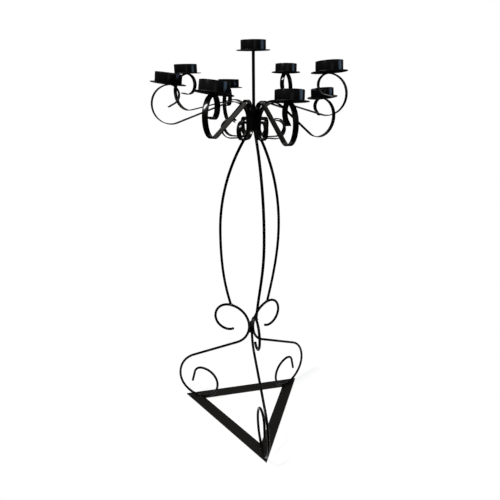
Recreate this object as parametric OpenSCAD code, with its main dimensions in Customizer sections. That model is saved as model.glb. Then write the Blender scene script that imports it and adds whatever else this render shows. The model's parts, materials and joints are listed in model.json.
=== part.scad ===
// Torchere candle stand: a triangular flat-bar base, three scrolled rod legs, three bowed rods that
// meet in a hub, and eight scrolled flat-strip arms that carry pillar candle cups around a central one.
// All of it is welded steel, so nothing on it moves.

/* [Base] */
// Length of each base bar along its outer edge
base_side = 513; // [460:1:580]
// Width of the base bars
bar_w = 45; // [35:1:60]
// Thickness of the base bars
bar_t = 5; // [3:0.5:10]

/* [Legs] */
// Diameter of the leg and bow rods
rod_d = 10; // [8:0.5:12]
// Distance from a foot's lowest point to the base's outer corner
foot_inset = 64; // [50:1:80]
// Bend radius of a leg where it turns out from the waist
waist_r = 95; // [70:1:120]
// Angle that a leg turns through below the waist
waist_turn = 62; // [52:1:70]
// Bend radius of the knee
knee_r = 130; // [100:1:150]
// Bend radius of the foot scroll below its widest point
foot_r = 96; // [80:1:110]
// Bend radius of the foot scroll as it rises on the inside
heel_r = 79; // [66:1:90]
// Bend radius over the inner top of the foot scroll
instep_r = 69; // [56:1:76]
// Bend radius of the foot scroll's tip
toe_r = 36; // [30:1:50]
// Straight tail of the foot scroll
toe_len = 52; // [20:1:60]
// First bend radius of the leg head, above the waist
head_r = 84; // [70:1:95]
// Bend radius over the outer shoulder of the leg head
shoulder_r = 60; // [50:1:70]
// Bend radius under the leg head
chin_r = 53; // [40:1:56]
// Bend radius of the leg head's tip
head_tip_r = 44; // [32:1:48]

/* [Bows] */
// Greatest distance of the bowed rods from the axis
belly_r = 132; // [120:1:150]
// Angle from the vertical at which a bow leaves the hub
bow_spread = 35; // [30:1:40]
// Bend radius of a bow just below the hub
bow_neck_r = 10; // [8:1:30]

/* [Hub and stem] */
// Height of the underside of the hub above the floor
hub_z = 1180; // [1140:1:1230]
// Height of the hub core
hub_h = 52; // [40:1:60]
// Diameter of the stem rod
stem_d = 10; // [8:0.5:14]
// Height of the centre cup's rim above the floor, which is the overall height
overall_h = 1444; // [1400:1:1600]

/* [Arms] */
// Width of the flat strip that the arms are bent from
strip_w = 16; // [12:0.5:17]
// Thickness of the arm strip
strip_t = 3; // [2:0.5:4]
// Mean distance of the outer cups from the axis
arm_reach = 293; // [280:1:340]
// Mean height of the outer cups' rims above the hub's underside
rim_rise = 163; // [150:1:190]
// Mean height of the arms' crests above the hub's underside
crest_rise = 83; // [76:1:100]
// Bend radius of the crest where an arm leaves the hub
crest_r = 53; // [40:1:58]
// Bend radius of the large loop under each cup
loop_r = 59; // [52:1:62]
// Bend radius of the curl inside the loop
curl_r = 30; // [24:1:32]
// Straight end of that curl
curl_tail = 22; // [8:1:26]
// Bend radius of an arm where it leaves the underside of the hub
tail_neck_r = 31; // [26:1:40]
// Straight run of the lower scroll
tail_run = 26; // [10:1:36]
// Bend radius of the lower scroll's outer side
tail_r = 32; // [26:1:38]
// Bend radius of the lower scroll's tip
tail_tip_r = 26; // [18:1:30]

/* [Cups] */
// Inside diameter of a candle cup, for a 75 mm pillar candle
cup_bore = 77; // [60:0.5:90]
// Wall thickness of a candle cup
cup_wall = 1.5; // [1:0.25:3]
// Height of a candle cup's wall
cup_h = 28; // [20:1:40]
// Diameter of the drip plates
plate_d = 107; // [96:1:125]
// Thickness of the drip plates
plate_t = 2; // [1.5:0.25:4]

/* [Hidden] */
LEGS = 3;
ARMS = 8;

// The rods and arms are bent and set by hand, so no two are quite alike. Each list below gives one by
// one, anticlockwise around the stem, how they depart from the mean.
leg_aim = [-1, 1, 0];                             // degrees that a leg is set round from its corner
scroll_grow = [10, -1, 2];                        // percent of the foot scroll's inner radii
bow_aim = [6, -3, -6];                            // degrees that a bow's belly is swung from its leg
arm_aim = [11, 0, -3, -9, 4, 7, -3, -5];          // degrees that it is twisted round above the hub
arm_stretch = [-6, -4, 15, -5, -6, 18, 3, -16];   // percent of its reach from the hub
cup_rise = [-15, 13, -6, 11, 1, -5, -12, 13];     // percent of the arms' reach, in height
crest_lift = [-2, -1, 0, 1, 0, -1, 0, 2];         // percent of the arms' reach, in height
loop_grow = [13, 5, 1, 3, -4, -8, -6, 0];         // percent of the loop's radius
curl_grow = [-18, 8, 6, 12, -6, 0, -16, 2];       // percent of the curl's radius
curl_more = [-33, -3, 5, 23, -12, 31, -18, 4];    // degrees of curl
cup_lean = [7, -4, 1, -2, 6, 9, 7, 6];            // degrees that the plate's outer edge is high
cup_sway = [0, 2, 0, 0, 4, 4, 2, 3];              // degrees that its edge is high clockwise of the arm
cup_slip = [11, 0, -3, 3, 7, 0, 6, 8];            // mm that the plate's middle is outside the crown
cup_slew = [1, 0, -2, 1, 1, 0, 1, -8];            // mm that it is anticlockwise of the crown

arm_turn = 8;                       // first arm's direction around the hub
leg_turn = -90;                     // first leg's direction: the front corner
rod_r = rod_d / 2;
leg_gap = 6;                        // air between the legs' rods at the waist
leg_axis = (rod_d + leg_gap) / 2 / sin(60);
shin_dip = 90 - waist_turn;         // slope of the straight run below the horizontal
foot_z = bar_t + rod_r;             // rod axis where a foot rests on its bar
base_set = [-4.5, 3.5];             // mm that the base's middle is off the stem's axis
base_turn = 0.5;                    // degrees that the base is turned under the legs
corner_r = base_side / sqrt(3);     // middle of the base to its outer corner
foot_at = corner_r - foot_inset;    // axis to a foot's lowest point
leg_spread = foot_at - leg_axis - (waist_r + knee_r) * (1 - cos(waist_turn)) + foot_r;
shin_len = leg_spread / cos(shin_dip);
waist_z = foot_z + (waist_r + knee_r) * sin(waist_turn) + leg_spread * tan(shin_dip) + foot_r;
toe_turn = 76;
head_tip_turn = 34;

strip_fit = 0.45;                   // air between the arms' edges where they surround the hub
hub_r = (strip_w / 2 + strip_fit) / tan(180 / ARMS);
hub_axis = hub_r + strip_t / 2;     // axis to the middle of an arm's strip on the hub
core_fit = 0.3;                     // air between the core and the arms, which the welds close
curl_turn = 165;
tail_tip_turn = 136;
twist_steps = 4;                    // rings over which an arm's strip is twisted on the hub

stem_lean = 1.1;                    // degrees that the stem leans
stem_lean_to = 167;                 // direction that it leans in
stem_foot = hub_z + hub_h;
bow_gap = 6;                        // air between the bows' rods under the hub
bow_axis = (rod_d + bow_gap) / 2 / sin(60);
head_crown = leg_axis + head_r;     // axis to the highest point of a leg's head
bow_land = head_crown - 5.5;          // axis to a bow's lower end on that head
head_slope = asin((head_crown - bow_land) / head_r);
bow_stop = 1.5 * rod_r;             // bow's lower end above the axis of the head's rod
bow_land_z = waist_z + head_r * cos(head_slope) + bow_stop;

cup_d = cup_bore + 2 * cup_wall;
seat = cup_h + plate_t;             // rim to the underside of the drip plate
rod_sides = 12;
bend_step = 9;                      // degrees between the rings of a bent rod
strip_step = 9;                     // degrees between the creases of a bent strip
$fn = 96;

// A bend list holds [radius, angle] for each arc, with the angle positive to the left, and
// [length, 0] for each straight. A pose is [point, heading] in the plane of the bends.
function left(a) = [-sin(a), cos(a)];
function ahead(a) = [cos(a), sin(a)];
function after(pose, bend) = bend[1] == 0 ? [pose[0] + bend[0] * ahead(pose[1]), pose[1]]
    : let (side = sign(bend[1]) * bend[0], centre = pose[0] + side * left(pose[1]))
        [centre - side * left(pose[1] + bend[1]), pose[1] + bend[1]];
function poses(pose, bends, i = 0) = i == len(bends) ? [pose]
    : concat([pose], poses(after(pose, bends[i]), bends, i + 1));
function bend_parts(bend, step) = bend[1] == 0 ? 1 : ceil(abs(bend[1]) / step);
function bend_share(bend, share) = bend[1] == 0 ? [bend[0] * share, 0] : [bend[0], bend[1] * share];
function stations(pose, bends, step) = let (starts = poses(pose, bends)) concat([pose],
    [for (i = [0:len(bends) - 1]) let (parts = bend_parts(bends[i], step))
        for (k = [1:parts]) after(starts[i], bend_share(bends[i], k / parts))]);
function backwards(path) = [for (i = [len(path) - 1:-1:0]) [path[i][0], path[i][1] + 180]];

function turned(v, a) = [v[0] * cos(a) - v[1] * sin(a), v[0] * sin(a) + v[1] * cos(a)];

// Faces of a tube with the same number of points in each of its rings, closed at both ends
function tube_faces(rings, sides) = let (last = (rings - 1) * sides) concat(
    [[for (k = [sides - 1:-1:0]) k], [for (k = [0:sides - 1]) last + k]],
    [for (i = [0:rings - 2]) for (k = [0:sides - 1]) for (half = [0, 1])
        let (n = (k + 1) % sides, low = i * sides, high = low + sides)
            half == 0 ? [low + k, low + n, high + n] : [low + k, high + n, high + k]]);

// Round rod along a list of poses in a vertical plane, with each ring turned about the vertical by
// its own angle
module bent_rod(path, twists, d) {
    rings = [for (i = [0:len(path) - 1]) for (k = [0:rod_sides - 1])
        let (a = 360 * k / rod_sides, p = path[i][0] + d / 2 * cos(a) * left(path[i][1]))
            concat(turned([p[0], -d / 2 * sin(a)], twists[i]), p[1])];
    polyhedron(rings, tube_faces(len(path), rod_sides));
}

// Flat strip along such a list, bent in its thin direction and lying edgewise across the bends
module bent_strip(path, twists, t, w) {
    rings = [for (i = [0:len(path) - 1]) for (c = [[1, -1], [-1, -1], [-1, 1], [1, 1]])
        let (p = path[i][0] + c[0] * t / 2 * left(path[i][1]), q = [p[0], c[1] * w / 2])
            concat(turned(q, twists[i]), p[1])];
    polyhedron(rings, tube_faces(len(path), 4));
}

function more(size, percent) = size * (1 + percent / 100);

// Bend lists of leg i, upwards and downwards from its waist
head_bends = [[head_r, -90], [shoulder_r, -90], [chin_r, -90], [head_tip_r, -head_tip_turn]];
function foot_bends(i) = [[waist_r, waist_turn], [shin_len, 0], [knee_r, -waist_turn], [foot_r, -90],
    [more(heel_r, scroll_grow[i]), -90], [more(instep_r, scroll_grow[i]), -90], [toe_r, -toe_turn],
    [toe_len, 0]];
function leg_heading(i) = leg_turn + i * 360 / LEGS + leg_aim[i];

// Bows: a neck bend out of the hub, a top arc down to the belly, and a lower arc to the leg's head
bow_top = [bow_axis, hub_z];
bow_neck = after([bow_top, -90], [bow_neck_r, bow_spread]);
bow_top_r = (belly_r - bow_neck[0][0]) / (1 - cos(bow_spread));
belly_z = bow_neck[0][1] - bow_top_r * sin(bow_spread);
bow_tuck = belly_r - bow_land;      // how far the lower end draws in from the belly
bow_drop = belly_z - bow_land_z;
bow_low_r = (bow_tuck * bow_tuck + bow_drop * bow_drop) / 2 / bow_tuck;
bow_low_turn = asin(bow_drop / bow_low_r);
bow_bends = [[bow_neck_r, bow_spread], [bow_top_r, -bow_spread], [bow_low_r, -bow_low_turn]];

// Arm i's bends, cup and plane; r and z are measured in the arm's own vertical plane, from the middle
// of its strip on the hub
function hub_spot(i) = hub_axis * ahead(arm_turn + i * 360 / ARMS);
function arm_heading(i) = arm_turn + i * 360 / ARMS + arm_aim[i];
function big_r(i) = more(loop_r, loop_grow[i]);
function small_r(i) = more(curl_r, curl_grow[i]);
function crown(i) = [more(arm_reach - hub_axis, arm_stretch[i]),
    hub_z + rim_rise - seat - strip_t / 2 + arm_reach * cup_rise[i] / 100];
function up(i) = left(cup_lean[i]);
function seat_spot(i) = let (r = cup_lean[i] < 0 ? big_r(i) : small_r(i))
    crown(i) - [0, r] + (r + strip_t / 2) * up(i);
function crest_stop(i) = crest_rise - crest_r + arm_reach * crest_lift[i] / 100;
function arm_bends(i) =
    let (loop = crown(i) - [0, big_r(i)], crest = [crest_r, hub_z + crest_stop(i)], gap = loop - crest,
        reach = crest_r + big_r(i), slope = atan2(gap[1], gap[0]) - asin(reach / norm(gap)),
        run = sqrt(gap * gap - reach * reach))
        concat([for (k = [1:twist_steps]) [crest_stop(i) / twist_steps, 0]],
            [[crest_r, slope - 90], [run, 0], [big_r(i), 180 - slope],
                [small_r(i), curl_turn + curl_more[i]], [curl_tail, 0]]);
tail_bends = [[tail_neck_r, 90], [tail_run, 0], [tail_r, 90], [tail_tip_r, tail_tip_turn]];

module base_bar(i) {
    inset = bar_w / tan(30);
    mid = corner_r * sin(30);
    color("#262624") translate(base_set) rotate([0, 0, leg_turn + base_turn + 60 + i * 120])
        translate([mid, 0, 0]) linear_extrude(bar_t)
            polygon([[0, -base_side / 2], [0, base_side / 2], [-bar_w, base_side / 2 - inset],
                [-bar_w, inset - base_side / 2]]);
}

module leg(i) {
    waist = [leg_axis, waist_z];
    head = stations([waist, 90], head_bends, bend_step);
    foot = stations([waist, -90], foot_bends(i), bend_step);
    path = concat(backwards(head), [for (k = [1:len(foot) - 1]) foot[k]]);
    color("#141414") rotate([0, 0, leg_heading(i)]) bent_rod(path, [for (p = path) 0], rod_d);
}

module bow(i) {
    path = stations([bow_top, -90], bow_bends, bend_step / 2);
    below = [for (p = path) max(0, belly_z - p[0][1]) / bow_drop];
    twists = [for (part = below) bow_aim[i] * (1 + cos(180 * part)) / 2];
    color("#141414") rotate([0, 0, leg_heading(i)]) bent_rod(path, twists, rod_d);
}

module hub_core() {
    color("#101010") translate([0, 0, hub_z]) cylinder(r = hub_r - core_fit, h = hub_h);
}

// The frame of the leaning stem: the origin at its foot, on the hub's core
module on_stem() {
    translate([0, 0, stem_foot + stem_d / 2 * sin(stem_lean)])
        rotate([0, 0, stem_lean_to]) rotate([0, stem_lean, 0]) rotate([0, 0, -stem_lean_to]) children();
}

module stem_rod() {
    color("#101010") on_stem() cylinder(d = stem_d, h = overall_h - seat - stem_foot);
}

// The frame of arm i: the origin under the hub's underside, X along the arm
module in_arm(i) {
    at = hub_spot(i);
    translate([at[0], at[1], 0]) rotate([0, 0, arm_heading(i)]) children();
}

module arm(i) {
    tail = stations([[0, hub_z], -90], tail_bends, strip_step);
    rise = stations([[0, hub_z], 90], arm_bends(i), strip_step);
    steps = [1:len(rise) - 1];
    path = concat(backwards(tail), [for (k = steps) rise[k]]);
    twists = concat([for (p = tail) -1], [for (k = steps) min(0, k / twist_steps - 1)]);
    color("#181818") in_arm(i) bent_strip(path, arm_aim[i] * twists, strip_t, strip_w);
}

// The frame of a seat: the origin where its plate rests on the crown or the stem, Z along the cup's axis
module on_seat(i) {
    if (i == 0)
        on_stem() translate([0, 0, overall_h - seat - stem_foot]) children();
    else {
        at = seat_spot(i - 1);
        lift = strip_w / 2 * abs(sin(cup_sway[i - 1]));
        in_arm(i - 1) translate([at[0], 0, at[1]]) rotate([0, -cup_lean[i - 1], 0])
            translate([0, 0, lift]) rotate([-cup_sway[i - 1], 0, 0]) children();
    }
}

// The same frame, moved to the middle of the plate
module on_plate(i) {
    slip = i == 0 ? [0, 0] : [cup_slip[i - 1], cup_slew[i - 1]];
    on_seat(i) translate(slip) children();
}

module drip_plate(i) {
    color("#202020") on_plate(i) cylinder(d = plate_d, h = plate_t);
}

module candle_cup(i) {
    color("#0c0e12") on_plate(i) translate([0, 0, plate_t]) difference() {
        cylinder(d = cup_d, h = cup_h);
        translate([0, 0, -1]) cylinder(d = cup_bore, h = cup_h + 2);
    }
}

// A fillet weld around a rod: a ring of triangular section, on the face at z = 0
module ring_weld(inner, leg_size) {
    rotate_extrude() polygon([[inner, 0], [inner + leg_size, 0], [inner, leg_size]]);
}

// Two beads beside each foot, in the grooves between the round rod and the flat bar
module foot_welds() {
    length = 30;
    bead = 0.75 * rod_r;
    rise = 0.6 * rod_r;
    color("#1c1c1c") for (i = [0:LEGS - 1]) rotate([0, 0, leg_heading(i)])
        for (side = [-1, 1])
            translate([foot_at + length / 2, 0, bar_t]) rotate([0, -90, 0]) linear_extrude(length)
                polygon([[0, side * 0.45 * rod_r], [0, side * (rod_r + bead)], [rise, side * 0.92 * rod_r]]);
}

// Three upright beads between the legs where they pass the axis, each as thick as the gap it bridges
module waist_weld() {
    length = 4 * rod_d;
    color("#141414") for (i = [0:LEGS - 1]) {
        apart = (leg_heading((i + 1) % LEGS) - leg_heading(i) + 360) % 360;
        bead = 0.9 * leg_axis * ahead(leg_heading(i) + apart / 2);
        bead_r = norm(bead - leg_axis * ahead(leg_heading(i))) - rod_r;
        translate([bead[0], bead[1], waist_z - length / 2]) cylinder(r = bead_r, h = length);
    }
}

// A collar around the lower end of each bow, saddled on the head of its leg
module bow_welds() {
    below = 0.9 * rod_r;
    above = 0.6 * rod_r;
    color("#141414") for (i = [0:LEGS - 1]) rotate([0, 0, leg_heading(i)])
        translate([bow_land, 0, bow_land_z]) difference() {
            translate([0, 0, -below]) cylinder(r1 = 1.7 * rod_r, r2 = 1.2 * rod_r, h = below + above);
            rotate([0, bow_low_turn, 0]) cylinder(r = rod_r, h = rod_d);
            translate([0, 0, -bow_stop]) rotate([0, 90 - head_slope, 0])
                cylinder(r = rod_r, h = 4 * rod_d, center = true);
        }
}

// Beads around the hub's top edge inside the arms, around the stem's foot, and around the bows' ends
module hub_welds() {
    bead = 4;
    color("#141414") {
        translate([0, 0, stem_foot]) {
            rotate_extrude() polygon([[hub_r - bead, 0], [hub_r, 0], [hub_r, bead]]);
            ring_weld(stem_d / 2 + bead * sin(stem_lean), bead);
        }
        for (i = [0:LEGS - 1]) rotate([0, 0, leg_heading(i) + bow_aim[i]])
            translate([bow_axis, 0, hub_z]) mirror([0, 0, 1]) ring_weld(rod_r, bead / 2);
    }
}

// Wedges that fill the gap between an arm's crown and its plate on both sides of the contact,
// and a ring around the stem under the centre plate
module cup_welds() {
    reach = 12;
    color("#141414") {
        on_seat(0) mirror([0, 0, 1]) ring_weld(stem_d / 2, 0.9 * stem_d / 2);
        for (i = [1:ARMS]) on_seat(i) for (side = [-1, 1])
            wedge(side, reach, side < 0 ? small_r(i - 1) : big_r(i - 1));
    }
}

module wedge(side, reach, bend_r) {
    r = bend_r + strip_t / 2;
    depth = reach * reach / 2 / r;
    rotate([90, 0, 0]) translate([0, 0, -strip_w / 2]) linear_extrude(strip_w)
        polygon([[side * reach / 6, 0], [side * (reach + depth), 0], [side * reach, -depth],
            [side * reach / 2, -depth / 4]]);
}

for (i = [1:LEGS]) base_bar(i - 1);
for (i = [1:LEGS]) leg(i - 1);
for (i = [1:LEGS]) bow(i - 1);
hub_core();
stem_rod();
for (i = [1:ARMS]) arm(i - 1);
for (i = [0:ARMS]) drip_plate(i);
for (i = [0:ARMS]) candle_cup(i);
foot_welds();
waist_weld();
bow_welds();
hub_welds();
cup_welds();
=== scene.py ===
import bpy, bmesh, json, math
from mathutils import Matrix, Vector

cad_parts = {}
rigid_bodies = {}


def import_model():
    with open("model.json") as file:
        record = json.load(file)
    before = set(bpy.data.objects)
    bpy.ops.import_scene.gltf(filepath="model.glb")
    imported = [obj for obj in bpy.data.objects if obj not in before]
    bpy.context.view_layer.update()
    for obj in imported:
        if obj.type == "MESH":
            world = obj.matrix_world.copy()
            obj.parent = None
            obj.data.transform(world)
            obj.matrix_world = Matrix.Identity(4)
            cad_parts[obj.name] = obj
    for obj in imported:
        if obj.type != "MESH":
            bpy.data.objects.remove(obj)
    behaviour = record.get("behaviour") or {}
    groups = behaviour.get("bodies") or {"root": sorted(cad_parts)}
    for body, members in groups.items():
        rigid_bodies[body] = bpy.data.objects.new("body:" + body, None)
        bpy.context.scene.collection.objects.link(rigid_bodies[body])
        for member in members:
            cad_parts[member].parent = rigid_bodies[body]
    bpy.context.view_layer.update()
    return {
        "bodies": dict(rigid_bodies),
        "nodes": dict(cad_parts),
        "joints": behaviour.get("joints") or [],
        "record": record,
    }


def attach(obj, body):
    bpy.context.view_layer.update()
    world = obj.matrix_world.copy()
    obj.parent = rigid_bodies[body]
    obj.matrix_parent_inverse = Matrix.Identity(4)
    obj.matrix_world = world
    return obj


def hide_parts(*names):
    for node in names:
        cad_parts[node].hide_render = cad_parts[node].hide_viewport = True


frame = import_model()

# ---------------------------------------------------------------------------------------------
# Base. Three 45 x 5 mm flat steel bars, mitred and butt welded into a triangle, with the welds
# ground flush. The bars are sawn, so their edges are only lightly broken, and the black paint on
# their upper faces has gone dull from dust and from being walked past.
# ---------------------------------------------------------------------------------------------
LEGS = 3
FRONT = -90
base_side, bar_wide, bar_thick = 513, 45, 5
base_set, base_turn = (-4.5, 3.5), 0.5
bar_edge = 0.6
# the triangle's corners, in degrees
corner = 180 / LEGS
# Satin alkyd paint over steel shows the room far less than glass does, so its IOR is matched to the
# photograph, below the usual 1.5.
PAINT_IOR = 1.27


def linear(code):
    """An sRGB hex colour as linear red, green, blue and alpha."""
    parts = [int(code[i:i + 2], 16) / 255 for i in (1, 3, 5)]
    return [p / 12.92 if p <= 0.04045 else ((p + 0.055) / 1.055) ** 2.4 for p in parts] + [1]


def add(tree, kind, inputs=None, **settings):
    """A node with its settings, and its inputs as values or as the sockets that feed them."""
    node = tree.nodes.new(kind)
    for key, value in settings.items():
        setattr(node, key, value)
    for key, value in (inputs or {}).items():
        if isinstance(value, bpy.types.NodeSocket):
            tree.links.new(value, node.inputs[key])
        else:
            node.inputs[key].default_value = value
    return node


def black_paint(name, coat, thin, gloss, peel, ior=PAINT_IOR, dust=None, worn=None, wear=0.6):
    """Black paint on steel: coat and thin are its colours where it lies thick and thin, gloss the
    range of its roughness, peel the depth in mm of its orange peel, dust the colour of upper faces,
    and worn the colour of small spots where it is rubbed through, fewer for a higher wear."""
    material = bpy.data.materials.new(name)
    material.use_nodes = True
    tree = material.node_tree
    tree.nodes.clear()
    place = add(tree, "ShaderNodeTexCoord").outputs["Object"]
    # the spray passes overlap every 40 mm or so
    cloud = add(tree, "ShaderNodeTexNoise", {"Vector": place, "Scale": 1 / 0.04, "Detail": 4})
    # orange peel is about 1.5 mm wide, and is drawn at 3 mm so that it shows
    orange = add(tree, "ShaderNodeTexNoise", {"Vector": place, "Scale": 1 / 0.003, "Detail": 2})
    tone = add(tree, "ShaderNodeMix", {"Factor": cloud.outputs["Fac"], "A": linear(coat),
                                       "B": linear(thin)}, data_type="RGBA").outputs["Result"]
    if dust:
        # dust lies in patches 6 mm wide, on what faces up
        facing = add(tree, "ShaderNodeNewGeometry").outputs["Normal"]
        up = add(tree, "ShaderNodeSeparateXYZ", {0: facing})
        specks = add(tree, "ShaderNodeTexNoise", {"Vector": place, "Scale": 1 / 0.006, "Detail": 6})
        lie = add(tree, "ShaderNodeMath", {0: up.outputs["Z"], 1: specks.outputs["Fac"]},
                  operation="MULTIPLY", use_clamp=True)
        tone = add(tree, "ShaderNodeMix", {"Factor": lie.outputs[0], "A": tone, "B": linear(dust)},
                   data_type="RGBA").outputs["Result"]
    if worn:
        # rubbed spots are 2 to 4 mm wide, and 15 mm or so apart at a wear of 0.6
        spots = add(tree, "ShaderNodeTexNoise", {"Vector": place, "Scale": 1 / 0.008, "Detail": 3})
        bare = add(tree, "ShaderNodeMapRange", {"Value": spots.outputs["Fac"], "From Min": wear,
                                                "From Max": wear + 0.06})
        tone = add(tree, "ShaderNodeMix", {"Factor": bare.outputs[0], "A": tone, "B": linear(worn)},
                   data_type="RGBA").outputs["Result"]
    # the noise stays mostly between 0.3 and 0.7
    sheen = add(tree, "ShaderNodeMapRange", {"Value": cloud.outputs["Fac"], "From Min": 0.3,
                                             "From Max": 0.7, "To Min": gloss[0], "To Max": gloss[1]})
    skin = add(tree, "ShaderNodeBump", {"Height": orange.outputs["Fac"], "Distance": peel / 1000})
    steel = add(tree, "ShaderNodeBsdfPrincipled", {"Base Color": tone, "Roughness": sheen.outputs[0],
                                                   "Normal": skin.outputs[0], "IOR": ior})
    add(tree, "ShaderNodeOutputMaterial", {"Surface": steel.outputs[0]})
    return material


def finish_piece(piece, slot, material, *nodes):
    """Gives a piece its paint, hangs it on the root body, and hides the solids of the frame that it stands
    for.
    """
    piece.data.materials.clear()
    piece.data.materials.append(material)
    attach(piece, "root")
    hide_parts(*nodes)
    return piece


def new_piece(name, mesh_or_bm):
    """A piece at the world origin, from a mesh or from mesh code."""
    mesh = mesh_or_bm
    if isinstance(mesh_or_bm, bmesh.types.BMesh):
        mesh = bpy.data.meshes.new(name)
        mesh_or_bm.normal_update()
        mesh_or_bm.to_mesh(mesh)
        mesh_or_bm.free()
    piece = bpy.data.objects.new(name, mesh)
    bpy.context.scene.collection.objects.link(piece)
    return piece


# Alkyd spray paint, dulled by feet and dust: it gives the eye a flat, faintly brown black.
bar_paint = black_paint("dulled satin black paint on flat bar", "#12110f", "#0e0d0c", (0.42, 0.55), 0.03,
                        dust="#1c1a17", worn="#45433f", wear=0.71)
corner_r = base_side / math.sqrt(3)
mid = corner_r / 2
inset = bar_wide / math.tan(math.radians(corner / 2))
for i in range(LEGS):
    bm = bmesh.new()
    outline = [(mid, -base_side / 2), (mid, base_side / 2), (mid - bar_wide, base_side / 2 - inset),
               (mid - bar_wide, inset - base_side / 2)]
    low = [bm.verts.new((x / 1000, y / 1000, 0)) for x, y in outline]
    face = bm.faces.new(low)
    top = bmesh.ops.extrude_face_region(bm, geom=[face])
    bmesh.ops.translate(bm, verts=[v for v in top["geom"] if isinstance(v, bmesh.types.BMVert)],
                        vec=(0, 0, bar_thick / 1000))
    bmesh.ops.recalc_face_normals(bm, faces=bm.faces)
    # the mitred ends are ground flush, so only the edges along the bar are broken
    long_edges = [e for e in bm.edges if abs(e.verts[0].co.y - e.verts[1].co.y) > 2 * bar_wide / 1000]
    bmesh.ops.bevel(bm, geom=long_edges, offset=bar_edge / 1000, segments=3, profile=0.5,
                    affect="EDGES", clamp_overlap=True)
    bm.transform(Matrix.Translation((base_set[0] / 1000, base_set[1] / 1000, 0))
                 @ Matrix.Rotation(math.radians(FRONT + base_turn + corner + i * 360 / LEGS), 4, "Z"))
    bar = new_piece(f"base_flat_{i + 1}", bm)
    finish_piece(bar, "bar_paint", bar_paint, f"base_bar_{i + 1}")

# ---------------------------------------------------------------------------------------------
# Legs. Each is one 10 mm round steel rod, cold bent on a scroll jig: a foot scroll, a knee, a
# straight run up to the waist and an open head above it. The ends are sawn square. The three
# pass 6 mm apart at the waist, where beads of weld bridge the gaps.
# ---------------------------------------------------------------------------------------------
rod_d = 10
leg_gap = 6
leg_aim = [-1, 1, 0]
scroll_grow = [10, -1, 2]
foot_inset = 64
waist_r, waist_turn, knee_r, foot_r, heel_r = 95, 62, 130, 96, 79
instep_r, toe_r, toe_turn, toe_len = 69, 36, 76, 52
head_r, shoulder_r, chin_r, head_tip_r, head_tip_turn = 84, 60, 53, 44, 34
rod_edge = 0.5
ROD_SIDES = 28
# the finest turn of a bend in degrees, the longest piece of a straight in mm, and the angle in
# degrees past which an edge is drawn sharp
BEND_STEP, STRAIGHT_STEP, CREASE = 3, 12, 38


def walk(start, heading, bends, step=BEND_STEP):
    """Points and headings along bends, in mm and degrees: (radius, turn) is an arc, positive to the
    left, and (length, 0) a straight."""
    x, y = start
    path = [(x, y, heading)]
    for size, turn in bends:
        parts = max(1, math.ceil(abs(turn) / step if turn else size / STRAIGHT_STEP))
        for k in range(1, parts + 1):
            if turn:
                a, b = math.radians(heading), math.radians(heading + turn * k / parts)
                side = math.copysign(size, turn)
                path.append((x + side * (math.sin(b) - math.sin(a)),
                             y - side * (math.cos(b) - math.cos(a)), heading + turn * k / parts))
            else:
                a = math.radians(heading)
                path.append((x + size * k / parts * math.cos(a),
                             y + size * k / parts * math.sin(a), heading))
        x, y, heading = path[-1]
    return path


def reverse(path):
    """The same path, walked from its far end."""
    return [(x, y, a + 180) for x, y, a in reversed(path)]


def more(size, percent):
    """A size with the few percent that a piece bent by hand is larger or smaller."""
    return size * (1 + percent / 100)


def leg_heading(i):
    """The way that leg i points, in degrees from the X axis."""
    return FRONT + i * 360 / LEGS + leg_aim[i]


def form_tree(name, sockets):
    """An empty Geometry Nodes tree with named inputs, and its input and output nodes."""
    tree = bpy.data.node_groups.new(name, "GeometryNodeTree")
    tree.interface.new_socket("Geometry", in_out="INPUT", socket_type="NodeSocketGeometry")
    for label, kind in sockets.items():
        tree.interface.new_socket(label, in_out="INPUT", socket_type="NodeSocket" + kind)
    tree.interface.new_socket("Geometry", in_out="OUTPUT", socket_type="NodeSocketGeometry")
    return tree, tree.nodes.new("NodeGroupInput").outputs, tree.nodes.new("NodeGroupOutput")


def close_tree(tree, out, geometry, material):
    """Softens the shading of the bends, keeps the sawn edges sharp, and ends the tree."""
    angle = add(tree, "GeometryNodeInputMeshEdgeAngle").outputs["Unsigned Angle"]
    sharp = add(tree, "FunctionNodeCompare", {0: angle, 1: math.radians(CREASE)},
                operation="GREATER_THAN")
    smooth = add(tree, "GeometryNodeSetShadeSmooth", {"Geometry": geometry})
    edges = add(tree, "GeometryNodeSetShadeSmooth", {"Geometry": smooth.outputs[0],
                "Selection": sharp.outputs[0], "Shade Smooth": False}, domain="EDGE")
    real = add(tree, "GeometryNodeRealizeInstances", {"Geometry": edges.outputs[0]})
    coated = add(tree, "GeometryNodeSetMaterial", {"Geometry": real.outputs[0], "Material": material})
    tree.links.new(coated.outputs[0], out.inputs[0])


def run_tree(name, tree, source, values):
    """Runs a tree on a source mesh and keeps the result as a plain piece at the world origin."""
    form = new_piece(name + "_path", source)
    modifier = form.modifiers.new("form", "NODES")
    modifier.node_group = tree
    for item in tree.interface.items_tree:
        if item.in_out == "INPUT" and item.name in values:
            modifier[item.identifier] = values[item.name]
    bpy.context.view_layer.update()
    result = form.evaluated_get(bpy.context.evaluated_depsgraph_get())
    mesh = bpy.data.meshes.new_from_object(result)
    bpy.data.objects.remove(form)
    return new_piece(name, mesh)


def line_mesh(points, **fields):
    """A chain of points in mm as a mesh of edges, with a number field for each keyword."""
    mesh = bpy.data.meshes.new("line")
    mesh.from_pydata([Vector(p) / 1000 for p in points],
                     [(k, k + 1) for k in range(len(points) - 1)], [])
    for key, values in fields.items():
        mesh.attributes.new(key, "FLOAT", "POINT").data.foreach_set("value", values)
    return mesh


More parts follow.
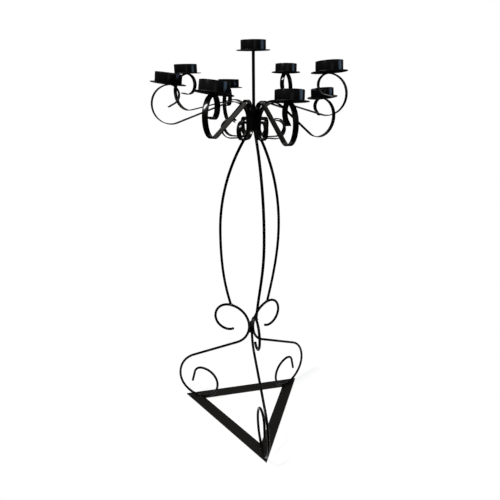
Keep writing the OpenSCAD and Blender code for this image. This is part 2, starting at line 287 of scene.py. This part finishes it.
rod_tree, put, out = form_tree("bent rod", {"Radius": "Float", "Sides": "Int", "Material": "Material"})
line = add(rod_tree, "GeometryNodeMeshToCurve", {"Mesh": put["Geometry"]})
girth = add(rod_tree, "GeometryNodeInputNamedAttribute", {"Name": "girth"}, data_type="FLOAT")
ring = add(rod_tree, "GeometryNodeCurvePrimitiveCircle",
           {"Resolution": put["Sides"], "Radius": put["Radius"]})
swept = add(rod_tree, "GeometryNodeCurveToMesh", {
    "Curve": line.outputs[0], "Profile Curve": ring.outputs[0], "Scale": girth.outputs[0],
    "Fill Caps": True})
close_tree(rod_tree, out, swept.outputs[0], put["Material"])

# The same spray paint over round hot rolled rod, which turns away from every lamp: the deepest black
# of the stand, with hardly a highlight.
rod_paint = black_paint("satin black paint on round rod", "#030303", "#070707", (0.16, 0.24), 0.008,
                        ior=1.15)


def bend_rod(name, path, turns):
    """A rod along a path of (distance out, height, heading), with the edges of its sawn ends broken.
    Each point stands at its own turn around the stem."""
    (x0, y0, a0), (x1, y1, a1) = path[0], path[-1]
    a0, a1 = math.radians(a0), math.radians(a1)
    ends = [(x0 + rod_edge * math.cos(a0), y0 + rod_edge * math.sin(a0)),
            (x1 - rod_edge * math.cos(a1), y1 - rod_edge * math.sin(a1))]
    flat = [path[0][:2], ends[0]] + [p[:2] for p in path[1:-1]] + [ends[1], path[-1][:2]]
    girth = [1 - 2 * rod_edge / rod_d] + [1.0] * (len(flat) - 2) + [1 - 2 * rod_edge / rod_d]
    spun = [math.radians(t) for t in [turns[0]] + turns + [turns[-1]]]
    source = line_mesh([(r * math.cos(a), r * math.sin(a), z) for (r, z), a in zip(flat, spun)],
                       girth=girth)
    return run_tree(name, rod_tree, source, {"Radius": rod_d / 2000, "Sides": ROD_SIDES,
                                             "Material": rod_paint})


shin_dip = math.radians(90 - waist_turn)
lean = math.radians(waist_turn)
leg_axis = (rod_d + leg_gap) / 2 / math.sin(math.radians(corner))
foot_z = bar_thick + rod_d / 2
foot_at = corner_r - foot_inset
leg_spread = foot_at - leg_axis - (waist_r + knee_r) * (1 - math.cos(lean)) + foot_r
waist_z = foot_z + (waist_r + knee_r) * math.sin(lean) + leg_spread * math.tan(shin_dip) + foot_r
for i in range(LEGS):
    head = walk((leg_axis, waist_z), 90, [(head_r, -90), (shoulder_r, -90), (chin_r, -90),
                                          (head_tip_r, -head_tip_turn)])
    foot = walk((leg_axis, waist_z), -90, [
        (waist_r, waist_turn), (leg_spread / math.cos(shin_dip), 0), (knee_r, -waist_turn),
        (foot_r, -90), (more(heel_r, scroll_grow[i]), -90), (more(instep_r, scroll_grow[i]), -90),
        (toe_r, -toe_turn), (toe_len, 0)])
    path = reverse(head) + foot[1:]
    leg = bend_rod(f"leg_rod_{i + 1}", path, [leg_heading(i)] * len(path))
    finish_piece(leg, "frame_paint", rod_paint, f"leg_{i + 1}")

# ---------------------------------------------------------------------------------------------
# Bows. Three more lengths of the same rod, bent outwards into a cage between the hub and the
# heads of the legs. Each stands on a head and runs up under the hub, and is welded at both ends.
# ---------------------------------------------------------------------------------------------
belly_r, bow_spread, bow_neck_r, bow_gap = 132, 35, 10, 6
bow_inset = 5.5
bow_aim = [6, -3, -6]
hub_z, hub_h, overall_h = 1180, 52, 1444
ARMS = 8
strip_w, strip_t, strip_fit = 16, 3, 0.45
hub_r = (strip_w / 2 + strip_fit) / math.tan(math.pi / ARMS)

bow_axis = (rod_d + bow_gap) / 2 / math.sin(math.radians(corner))
head_crown = leg_axis + head_r
bow_land = head_crown - bow_inset
head_slope = math.asin((head_crown - bow_land) / head_r)
bow_stop = 0.75 * rod_d
bow_land_z = waist_z + head_r * math.cos(head_slope) + bow_stop
neck = walk((bow_axis, hub_z), -90, [(bow_neck_r, bow_spread)])
spread = math.radians(bow_spread)
bow_top_r = (belly_r - neck[-1][0]) / (1 - math.cos(spread))
belly_z = neck[-1][1] - bow_top_r * math.sin(spread)
bow_tuck, bow_drop = belly_r - bow_land, belly_z - bow_land_z
bow_low_r = (bow_tuck ** 2 + bow_drop ** 2) / 2 / bow_tuck
bow_low_turn = math.degrees(math.asin(bow_drop / bow_low_r))
for i in range(LEGS):
    path = neck + walk(neck[-1][:2], neck[-1][2],
                       [(bow_top_r, -bow_spread), (bow_low_r, -bow_low_turn)], step=1)[1:]
    # below its belly a bow turns from its own heading to that of the leg under it
    below = [max(0, belly_z - z) / bow_drop for r, z, a in path]
    turns = [leg_heading(i) + bow_aim[i] * (1 + math.cos(math.pi * b)) / 2 for b in below]
    bow = bend_rod(f"bow_rod_{i + 1}", path, turns)
    finish_piece(bow, "frame_paint", rod_paint, f"bow_{i + 1}")

# ---------------------------------------------------------------------------------------------
# Hub and stem. A turned steel core that the eight arms are welded around, and a straight 10 mm
# rod that stands on it and carries the centre cup.
# ---------------------------------------------------------------------------------------------
stem_d, stem_edge = 10, 0.4
core_fit, core_edge = 0.3, 1
cup_h, plate_t = 28, 2


def lathe(profile, sides=96, closed=False):
    """Mesh code for a turned shape: a profile of (radius, height) in mm, from the bottom outwards and
    up, turned about the Z axis. A point on the axis closes the shape there."""
    bm = bmesh.new()
    rings = []
    for r, z in profile:
        if r < 1e-6:
            rings.append([bm.verts.new((0, 0, z / 1000))])
        else:
            rings.append([bm.verts.new((r / 1000 * math.cos(2 * math.pi * k / sides),
                                        r / 1000 * math.sin(2 * math.pi * k / sides), z / 1000))
                          for k in range(sides)])
    pairs = list(zip(rings, rings[1:])) + ([(rings[-1], rings[0])] if closed else [])
    for low, high in pairs:
        for k in range(sides):
            n = (k + 1) % sides
            corners = [low[k % len(low)], low[n % len(low)], high[n % len(high)], high[k % len(high)]]
            face = bm.faces.new(list(dict.fromkeys(corners)))
            face.smooth = True
    return bm


def sharpen(piece):
    """Keeps the edges past the crease angle sharp."""
    bm = bmesh.new()
    bm.from_mesh(piece.data)
    for edge in bm.edges:
        edge.smooth = edge.calc_face_angle(0) < math.radians(CREASE)
    bm.to_mesh(piece.data)
    bm.free()
    return piece


def broken(r, z, size, quarter):
    """Three points that break a corner at (r, z): quarter 0 is an outer top corner, 1 an outer bottom."""
    steps = [math.radians(a) for a in (0, 45, 90)]
    if quarter == 0:
        return [(r - size + size * math.cos(a), z - size + size * math.sin(a)) for a in steps]
    return [(r - size + size * math.sin(a), z + size - size * math.cos(a)) for a in steps]


# The same spray paint over turned and bent flat steel: an even black with small, sharp highlights on
# the bends.
frame_paint = black_paint("satin black paint on flat steel", "#040404", "#090908", (0.13, 0.19), 0.008)
core = hub_r - core_fit
core_piece = new_piece("hub_block", lathe(
    [(0, hub_z)] + broken(core, hub_z, core_edge, 1) + broken(core, hub_z + hub_h, core_edge, 0)
    + [(0, hub_z + hub_h)]))
finish_piece(sharpen(core_piece), "frame_paint", frame_paint, "hub_core")

stem_foot = hub_z + hub_h
stem_long = overall_h - cup_h - plate_t - stem_foot
stem_lean, stem_lean_to = math.radians(1.1), math.radians(167)
stem_frame = (Matrix.Translation((0, 0, stem_foot + stem_d / 2 * math.sin(stem_lean)))
              @ Matrix.Rotation(stem_lean, 4, (-math.sin(stem_lean_to), math.cos(stem_lean_to), 0)))


def in_metres(matrix):
    """A place in mm, for a mesh in metres."""
    result = matrix.copy()
    result.translation = matrix.translation / 1000
    return result


post = lathe([(0, 0)] + broken(stem_d / 2, 0, stem_edge, 1)
             + broken(stem_d / 2, stem_long, stem_edge, 0) + [(0, stem_long)], sides=32)
post.transform(in_metres(stem_frame))
stem_piece = new_piece("stem_post", post)
finish_piece(sharpen(stem_piece), "frame_paint", rod_paint, "stem_rod")

# ---------------------------------------------------------------------------------------------
# Arms. Each is one length of 16 x 3 mm flat strip, bent the easy way: a small scroll below the
# hub, a straight run up the hub, where it is welded, a crest, and a long fall into the big loop
# whose top carries a cup, with a curl inside it. They were bent and set by hand, so they differ.
# ---------------------------------------------------------------------------------------------
arm_reach, rim_rise, crest_rise, crest_r = 293, 163, 83, 53
loop_r, curl_r, curl_tail, curl_turn = 59, 30, 22, 165
tail_bends = [(31, 90), (26, 0), (32, 90), (26, 136)]
arm_turn = 8
arm_aim = [11, 0, -3, -9, 4, 7, -3, -5]
arm_stretch = [-6, -4, 15, -5, -6, 18, 3, -16]
cup_rise = [-15, 13, -6, 11, 1, -5, -12, 13]
crest_lift = [-2, -1, 0, 1, 0, -1, 0, 2]
loop_grow = [13, 5, 1, 3, -4, -8, -6, 0]
curl_grow = [-18, 8, 6, 12, -6, 0, -16, 2]
curl_more = [-33, -3, 5, 23, -12, 31, -18, 4]
cup_lean = [7, -4, 1, -2, 6, 9, 7, 6]
cup_sway = [0, 2, 0, 0, 4, 4, 2, 3]
cup_slip = [11, 0, -3, 3, 7, 0, 6, 8]
cup_slew = [1, 0, -2, 1, 1, 0, 1, -8]
hub_axis = hub_r + strip_t / 2
seat = cup_h + plate_t
strip_edge = 0.5
HUB_STEPS = 8


def crown(i):
    """Distance along arm i from the hub, and height, of the top of its loop's centre line."""
    return (more(arm_reach - hub_axis, arm_stretch[i]),
            hub_z + rim_rise - seat - strip_t / 2 + arm_reach * cup_rise[i] / 100)


def arm_bends(i):
    """Bends of arm i from the underside of the hub up to the end of its curl."""
    big, small = more(loop_r, loop_grow[i]), more(curl_r, curl_grow[i])
    rise = crest_rise - crest_r + arm_reach * crest_lift[i] / 100
    out_by, up_by = crown(i)[0] - crest_r, crown(i)[1] - big - hub_z - rise
    gap = math.hypot(out_by, up_by)
    slope = math.degrees(math.atan2(up_by, out_by) - math.asin((crest_r + big) / gap))
    run = math.sqrt(gap ** 2 - (crest_r + big) ** 2)
    return rise, [(crest_r, slope - 90), (run, 0), (big, 180 - slope),
                  (small, curl_turn + curl_more[i]), (curl_tail, 0)]


strip_tree, put, out = form_tree("bent strip", {
    "Width": "Float", "Thickness": "Float", "Edge": "Float", "Heading": "Float", "Hub": "Float",
    "Hub turn": "Float", "Material": "Material"})
line = add(strip_tree, "GeometryNodeMeshToCurve", {"Mesh": put["Geometry"]})
across = add(strip_tree, "GeometryNodeSetCurveNormal", {"Curve": line.outputs[0]}, mode="Z_UP")
outline = add(strip_tree, "GeometryNodeCurvePrimitiveQuadrilateral",
              {"Width": put["Thickness"], "Height": put["Width"]})
eased = add(strip_tree, "GeometryNodeFilletCurve", {"Curve": outline.outputs[0], "Radius": put["Edge"],
                                                    "Count": 3}, mode="POLY")
swept = add(strip_tree, "GeometryNodeCurveToMesh", {"Curve": across.outputs[0],
            "Profile Curve": eased.outputs[0], "Fill Caps": True})
# the strip is twisted about the upright line through its middle on the hub
turn = add(strip_tree, "GeometryNodeInputNamedAttribute", {"Name": "turn"}, data_type="FLOAT")
spot = add(strip_tree, "GeometryNodeInputPosition")
twisted = add(strip_tree, "ShaderNodeVectorRotate",
              {"Vector": spot.outputs[0], "Axis": (0, 1, 0), "Angle": turn.outputs[0]},
              rotation_type="AXIS_ANGLE")
moved = add(strip_tree, "GeometryNodeSetPosition",
            {"Geometry": swept.outputs[0], "Position": twisted.outputs[0]})
stand = add(strip_tree, "ShaderNodeCombineXYZ", {"X": math.pi / 2, "Z": put["Heading"]})
stood = add(strip_tree, "GeometryNodeTransform",
            {"Geometry": moved.outputs[0], "Rotation": stand.outputs[0]})
hub_x = add(strip_tree, "ShaderNodeMath", {0: put["Hub turn"]}, operation="COSINE")
hub_y = add(strip_tree, "ShaderNodeMath", {0: put["Hub turn"]}, operation="SINE")
radial = add(strip_tree, "ShaderNodeCombineXYZ", {"X": hub_x.outputs[0], "Y": hub_y.outputs[0]})
offset = add(strip_tree, "ShaderNodeVectorMath", {0: radial.outputs[0], "Scale": put["Hub"]},
             operation="SCALE")
placed = add(strip_tree, "GeometryNodeTransform",
             {"Geometry": stood.outputs[0], "Translation": offset.outputs[0]})
close_tree(strip_tree, out, placed.outputs[0], put["Material"])

for i in range(ARMS):
    rise, bends = arm_bends(i)
    tail = walk((0, hub_z), -90, tail_bends)
    up = [(0, hub_z + rise * k / HUB_STEPS, 90) for k in range(1, HUB_STEPS + 1)]
    over = walk((0, hub_z + rise), 90, bends)
    path = reverse(tail) + up + over[1:]
    # the tail keeps the hub's heading, and the strip turns to the arm's own heading as it runs up
    untwist = ([-arm_aim[i]] * len(tail)
               + [arm_aim[i] * (k / HUB_STEPS - 1) for k in range(1, HUB_STEPS + 1)]
               + [0] * (len(over) - 1))
    source = line_mesh([(x, y, 0) for x, y, a in path], turn=[math.radians(t) for t in untwist])
    hub_at = math.radians(arm_turn + i * 360 / ARMS)
    arm = run_tree(f"arm_strip_{i + 1}", strip_tree, source, {
        "Width": strip_w / 1000, "Thickness": strip_t / 1000, "Edge": strip_edge / 1000,
        "Heading": hub_at + math.radians(arm_aim[i]), "Hub": hub_axis / 1000, "Hub turn": hub_at,
        "Material": frame_paint})
    finish_piece(arm, "frame_paint", frame_paint, f"arm_{i + 1}")

# ---------------------------------------------------------------------------------------------
# Drip plates and candle cups. A plate is a pressed steel disc with a soft edge, a cup a short
# length of 80 mm tube that stands on it. They are sprayed black together, a little glossier.
# ---------------------------------------------------------------------------------------------
plate_d, cup_bore, cup_wall = 107, 77, 1.5
plate_edge, cup_edge, cup_burr = 0.7, 0.4, 0.1
# The same spray paint over pressed plate, dulled by wax and hands: black, with a soft grey sheen.
plate_paint = black_paint("satin black paint on pressed plate", "#060606", "#0c0c0b", (0.38, 0.48), 0.03)
# The same spray paint over smooth tube: the glossiest face, which mirrors a window as an upright band.
cup_paint = black_paint("semi-gloss black paint on tube", "#040405", "#08080a", (0.14, 0.19), 0.006)


def seat_frame(i):
    """Where cup i rests on its crown or on the stem, as a matrix in mm with Z along the cup."""
    if i == 0:
        return stem_frame @ Matrix.Translation((0, 0, stem_long))
    k = i - 1
    lean, sway = math.radians(cup_lean[k]), math.radians(cup_sway[k])
    hub_at = math.radians(arm_turn + k * 360 / ARMS)
    r = more(loop_r, loop_grow[k]) if lean < 0 else more(curl_r, curl_grow[k])
    out_by, height = crown(k)
    at = (out_by - (r + strip_t / 2) * math.sin(lean), 0, height - r + (r + strip_t / 2) * math.cos(lean))
    return (Matrix.Translation((hub_axis * math.cos(hub_at), hub_axis * math.sin(hub_at), 0))
            @ Matrix.Rotation(hub_at + math.radians(arm_aim[k]), 4, "Z") @ Matrix.Translation(at)
            @ Matrix.Rotation(-lean, 4, "Y") @ Matrix.Translation((0, 0, strip_w / 2 * abs(math.sin(sway))))
            @ Matrix.Rotation(-sway, 4, "X"))


def plate_frame(i):
    """The place of plate i, which was welded a few mm off the middle of its crown."""
    slip = (0, 0, 0) if i == 0 else (cup_slip[i - 1], cup_slew[i - 1], 0)
    return seat_frame(i) @ Matrix.Translation(slip)


inner, outer, rim = cup_bore / 2, cup_bore / 2 + cup_wall, cup_h + plate_t
for i in range(ARMS + 1):
    plate = lathe([(0, 0)] + broken(plate_d / 2, 0, plate_edge, 1)
                  + broken(plate_d / 2, plate_t, plate_edge, 0) + [(0, plate_t)])
    plate.transform(in_metres(plate_frame(i)))
    finish_piece(sharpen(new_piece(f"plate_disc_{i}", plate)), "plate_paint", plate_paint, f"drip_plate_{i}")
    cup = lathe([(inner, plate_t), (outer, plate_t)] + broken(outer, rim, cup_edge, 0)
                + [(inner + cup_edge, rim), (inner + cup_burr, rim - 1.5 * cup_burr),
                   (inner, rim - cup_edge)], closed=True)
    bmesh.ops.recalc_face_normals(cup, faces=cup.faces)
    cup.transform(in_metres(plate_frame(i)))
    finish_piece(sharpen(new_piece(f"cup_tube_{i}", cup)), "cup_paint", cup_paint, f"candle_cup_{i}")

# ---------------------------------------------------------------------------------------------
# Welds. Short arc welded beads hold the stand together: beside the feet, between the legs at the
# waist, around the ends of the bows, around the hub's core, and under the plates. They were
# painted over as they were laid, with their ripples left on.
# ---------------------------------------------------------------------------------------------
# Spray paint over the slag and ripples of arc weld: lumpy and uneven, rubbed to grey metal in spots.
weld_paint = black_paint("satin black paint over weld beads", "#060606", "#0e0e0d", (0.28, 0.42), 0.05,
                         worn="#8c8880")

weld_tree, put, out = form_tree("weld bead", {"Size": "Float", "Ripple": "Float", "Seed": "Int",
                                              "Material": "Material"})
line = add(weld_tree, "GeometryNodeMeshToCurve", {"Mesh": put["Geometry"]})
even = add(weld_tree, "GeometryNodeResampleCurve", {"Curve": line.outputs[0], "Length": put["Ripple"]},
           mode="LENGTH")
# one drop of the bead, repeated along the seam, each a little larger or flatter and turned its own way
drop = add(weld_tree, "GeometryNodeMeshUVSphere", {"Segments": 10, "Rings": 6, "Radius": put["Size"]})
smooth = add(weld_tree, "GeometryNodeSetShadeSmooth", {"Geometry": drop.outputs["Mesh"]})
girth = add(weld_tree, "FunctionNodeRandomValue",
            {"Min": (0.85, 0.8, 0.75), "Max": (1.15, 1.1, 1.0), "Seed": put["Seed"]},
            data_type="FLOAT_VECTOR")
tilt = add(weld_tree, "FunctionNodeRandomValue",
           {"Min": (-0.4, -0.4, -3), "Max": (0.4, 0.4, 3), "Seed": put["Seed"]},
           data_type="FLOAT_VECTOR")
beads = add(weld_tree, "GeometryNodeInstanceOnPoints",
            {"Points": even.outputs[0], "Instance": smooth.outputs[0], "Scale": girth.outputs[0],
             "Rotation": tilt.outputs[0]})
real = add(weld_tree, "GeometryNodeRealizeInstances", {"Geometry": beads.outputs[0]})
coated = add(weld_tree, "GeometryNodeSetMaterial",
             {"Geometry": real.outputs[0], "Material": put["Material"]})
weld_tree.links.new(coated.outputs[0], out.inputs[0])


def lay_welds(name, node, seams, size, seed, paint=weld_paint):
    """A bead along each seam, which is a list of points in mm. Size is the bead's radius, and its
    ripples lie about half of that apart. Where a bead is out of reach its paint isn't rubbed."""
    mesh = bpy.data.meshes.new(name)
    edges, first = [], 0
    for seam in seams:
        edges += [(first + n, first + n + 1) for n in range(len(seam) - 1)]
        first += len(seam)
    mesh.from_pydata([Vector(p) / 1000 for seam in seams for p in seam], edges, [])
    piece = run_tree(name, weld_tree, mesh, {"Size": size / 1000, "Ripple": size * 0.55 / 1000,
                                             "Seed": seed, "Material": paint})
    finish_piece(piece, "frame_paint", paint, node)


def ring_seam(frame, r, z):
    """A seam all around the Z axis of a frame, in mm."""
    turns = [math.radians(10 * k) for k in range(37)]
    return [frame @ Vector((r * math.cos(a), r * math.sin(a), z)) for a in turns]


# a bead 30 mm long on each side of each foot
foot_bead, foot_half, foot_side, foot_up = 2.6, 15, 0.95 * rod_d / 2, 0.8
turned = [Matrix.Rotation(math.radians(leg_heading(i)), 4, "Z") for i in range(LEGS)]
lay_welds("weld_feet", "foot_welds", [
    [t @ Vector((foot_at + x, side * foot_side, bar_thick + foot_up))
     for x in range(-foot_half, foot_half + 1, 5)] for t in turned for side in (-1, 1)], foot_bead, 1)

# a bead 40 mm long in each groove between two legs
waist_bead, waist_half, waist_out = 4.2, 20, 0.85 * leg_axis
waist_seams = []
for i in range(LEGS):
    apart = (leg_heading((i + 1) % LEGS) - leg_heading(i)) % 360
    groove = Matrix.Rotation(math.radians(leg_heading(i) + apart / 2), 4, "Z")
    at = groove @ Vector((waist_out, 0, waist_z))
    waist_seams.append([at + Vector((0, 0, z)) for z in range(-waist_half, waist_half + 1, 5)])
lay_welds("weld_waist", "waist_weld", waist_seams, waist_bead, 2)

# a ring around each bow's foot, which rides up over the round of the head
bow_bead, collar_r, saddle_r, saddle_low = 2, 1.2 * rod_d / 2, 1.1 * rod_d / 2, 2
lay_welds("weld_bow_feet", "bow_welds", [
    [t @ Vector((bow_land + collar_r * math.cos(a), collar_r * math.sin(a), bow_land_z - bow_stop
                 + math.sqrt(max(saddle_low ** 2, saddle_r ** 2 - (collar_r * math.sin(a)) ** 2))))
     for a in [math.radians(10 * k) for k in range(37)]] for t in turned], bow_bead, 3)

# rings around the core's top, the stem's foot and the tops of the bows
hub_bead, core_in, stem_out, bow_out = 2.2, 1.5, 1.2, 0.8
ring_up, ring_down = 0.6, 0.4
on_hub = Matrix.Translation((0, 0, stem_foot))
under_hub = [Matrix.Rotation(math.radians(leg_heading(i) + bow_aim[i]), 4, "Z")
             @ Matrix.Translation((bow_axis, 0, hub_z)) for i in range(LEGS)]
lay_welds("weld_hub", "hub_welds",
          [ring_seam(on_hub, hub_r - core_in, ring_up), ring_seam(on_hub, stem_d / 2 + stem_out, ring_up)]
          + [ring_seam(f, rod_d / 2 + bow_out, -ring_down) for f in under_hub], hub_bead, 4, frame_paint)

# a ring around the stem's top, and two beads 14 mm long across each crown
cup_bead, cup_half, cup_down, stem_down = 1.6, 7, 1.2, 1
seams = [ring_seam(seat_frame(0), stem_d / 2 + cup_bead / 2, -stem_down)]
for i in range(1, ARMS + 1):
    for side in (-1, 1):
        seams.append([seat_frame(i) @ Vector((side * cup_half, y, -cup_down))
                      for y in (-cup_half, 0, cup_half)])
lay_welds("weld_cups", "cup_welds", seams, cup_bead, 5)

# ---------------------------------------------------------------------------------------------
# Floor, light and camera. A disc of white paper lies under the stand, and a white backdrop stands
# behind it. Two windows and the dim room around them light it, and only its paint shows the room.
# ---------------------------------------------------------------------------------------------
floor_r = 0.45
bm = bmesh.new()
bmesh.ops.create_circle(bm, cap_ends=True, segments=128, radius=floor_r)
floor = new_piece("floor", bm)

# Matt white paper: the eye sees it white, with the stand's shadow left faint on it. Four fifths of it
# glow at 1.1, and a fifth is lit by the lamps, which comes to 1 or just over it where nothing shades it.
floor_white = bpy.data.materials.new("matt white floor paper")
floor_white.use_nodes = True
tree = floor_white.node_tree
tree.nodes.clear()
path = add(tree, "ShaderNodeLightPath").outputs
seen = path["Is Camera Ray"]
for ray in ("Is Glossy Ray", "Is Transmission Ray"):
    seen = add(tree, "ShaderNodeMath", {0: seen, 1: path[ray]}, operation="MAXIMUM").outputs[0]
share = add(tree, "ShaderNodeMath", {0: seen, 1: 0.8}, operation="MULTIPLY")
lit = add(tree, "ShaderNodeBsdfDiffuse", {"Color": linear("#ffffff")})
white = add(tree, "ShaderNodeEmission", {"Color": linear("#ffffff"), "Strength": 1.1})
pick = add(tree, "ShaderNodeMixShader", {0: share.outputs[0], 1: lit.outputs[0], 2: white.outputs[0]})
add(tree, "ShaderNodeOutputMaterial", {"Surface": pick.outputs[0]})
floor.data.materials.append(floor_white)

# A dim room, as the paint mirrors it: dark low down, paler walls above, and two lit panels.
LIGHT = 1.8
world = bpy.data.worlds.new("studio")
bpy.context.scene.world = world
world.use_nodes = True
tree = world.node_tree
tree.nodes.clear()
path = add(tree, "ShaderNodeLightPath").outputs
look = add(tree, "ShaderNodeTexCoord").outputs["Generated"]
height = add(tree, "ShaderNodeSeparateXYZ", {0: look}).outputs["Z"]


def panel(azimuth, half, strength, low=-1.0, high=0.5):
    """A lit panel around the stand: its middle and half its width as angles, and the sines of the
    heights that it stands between. Its edges are soft: they fade over 8 degrees and a tenth."""
    a = math.radians(azimuth)
    level = add(tree, "ShaderNodeVectorMath", {0: look, 1: (1, 1, 0)}, operation="MULTIPLY")
    way = add(tree, "ShaderNodeVectorMath", {0: level.outputs[0]}, operation="NORMALIZE")
    toward = add(tree, "ShaderNodeVectorMath", {0: way.outputs[0], 1: (math.cos(a), math.sin(a), 0)},
                 operation="DOT_PRODUCT")
    wide = add(tree, "ShaderNodeMapRange", {"Value": toward.outputs["Value"],
                                            "From Min": math.cos(math.radians(half + 4)),
                                            "From Max": math.cos(math.radians(half - 4)), "To Max": strength})
    foot = add(tree, "ShaderNodeMapRange", {"Value": height, "From Min": low, "From Max": low + 0.1})
    top = add(tree, "ShaderNodeMapRange", {"Value": height, "From Min": high - 0.1, "From Max": high,
                                           "To Min": 1, "To Max": 0})
    tall = add(tree, "ShaderNodeMath", {0: foot.outputs[0], 1: top.outputs[0]}, operation="MULTIPLY")
    lit = add(tree, "ShaderNodeMath", {0: wide.outputs[0], 1: tall.outputs[0]}, operation="MULTIPLY")
    return lit.outputs[0]


# the walls' brightness by the sine of their height as seen from the stand, and a little warm
walls = add(tree, "ShaderNodeValToRGB", {"Fac": height})
ramp = walls.color_ramp.elements
ramp[0].position, ramp[0].color = 0.0, (0.01, 0.01, 0.01, 1)
ramp[1].position, ramp[1].color = 1.0, (0.08, 0.08, 0.08, 1)
for at, shade in ((0.25, 0.06), (0.5, 0.15), (0.6, 0.22), (0.68, 0.2), (0.79, 0.08)):
    ramp.new(at).color = (shade, shade * 0.97, shade * 0.9, 1)
# the paint also mirrors the white backdrop paper, 40 degrees of it behind the stand, and a lit panel
# beside the camera
shiny = add(tree, "ShaderNodeMath", {0: path["Is Glossy Ray"], 1: path["Is Transmission Ray"]},
            operation="MAXIMUM")
backdrop = panel(77.7, 20, 1.0, low=0.0, high=0.2)
paper = add(tree, "ShaderNodeMath", {0: shiny.outputs[0], 1: backdrop}, operation="MULTIPLY")
beside = panel(272, 10, 0.25 * LIGHT, low=0.02)
panels = add(tree, "ShaderNodeMath", {0: paper.outputs[0], 1: beside}, operation="MAXIMUM")
room = add(tree, "ShaderNodeBackground", {"Color": walls.outputs["Color"], "Strength": LIGHT})
hung = add(tree, "ShaderNodeBackground", {"Color": linear("#ffffff"), "Strength": panels.outputs[0]})
around = add(tree, "ShaderNodeAddShader", {0: room.outputs[0], 1: hung.outputs[0]})
white = add(tree, "ShaderNodeBackground", {"Color": linear("#ffffff"), "Strength": 1.0})
pick = add(tree, "ShaderNodeMixShader",
           {0: path["Is Camera Ray"], 1: around.outputs[0], 2: white.outputs[0]})
add(tree, "ShaderNodeOutputWorld", {"Surface": pick.outputs[0]})

# the lamps aim at the arms, at this height in metres
arms_at = 1.2


def softbox(name, azimuth, elevation, distance, width, height, strength, colour="#ffffff"):
    """An area light that faces the arms. Strength is its brightness, where 1 is white."""
    data = bpy.data.lights.new(name, "AREA")
    data.shape, data.size, data.size_y = "RECTANGLE", width, height
    data.energy = strength * math.pi * width * height
    data.color = linear(colour)[:3]
    lamp = bpy.data.objects.new(name, data)
    bpy.context.scene.collection.objects.link(lamp)
    a, e = math.radians(azimuth), math.radians(elevation)
    aim = Vector((0, 0, arms_at))
    toward = Vector((math.cos(e) * math.cos(a), math.cos(e) * math.sin(a), math.sin(e)))
    lamp.location = aim + distance * toward
    lamp.rotation_euler = (aim - lamp.location).to_track_quat("-Z", "Y").to_euler()
    lamp.visible_camera = False
    return lamp


softbox("high narrow window", 207, 46, 2.6, 0.18, 0.9, 90 * LIGHT)
softbox("low blue window", 345, 16, 2.2, 1.1, 0.8, 1.8 * LIGHT, "#b4d8ff")

# the camera's place and lens were fitted to the base, the legs and the cups in the photograph
camera = bpy.data.objects.new("camera", bpy.data.cameras.new("camera"))
bpy.context.scene.collection.objects.link(camera)
camera.location = (-0.3294, -1.4739, 1.3483)
camera.rotation_euler = [math.radians(a) for a in (68.079, -0.467, -12.097)]
camera.data.sensor_width = 36
camera.data.lens = 31.653
camera.data.clip_start = 0.05
bpy.context.scene.camera = camera
bpy.context.scene.view_settings.view_transform = "Standard"
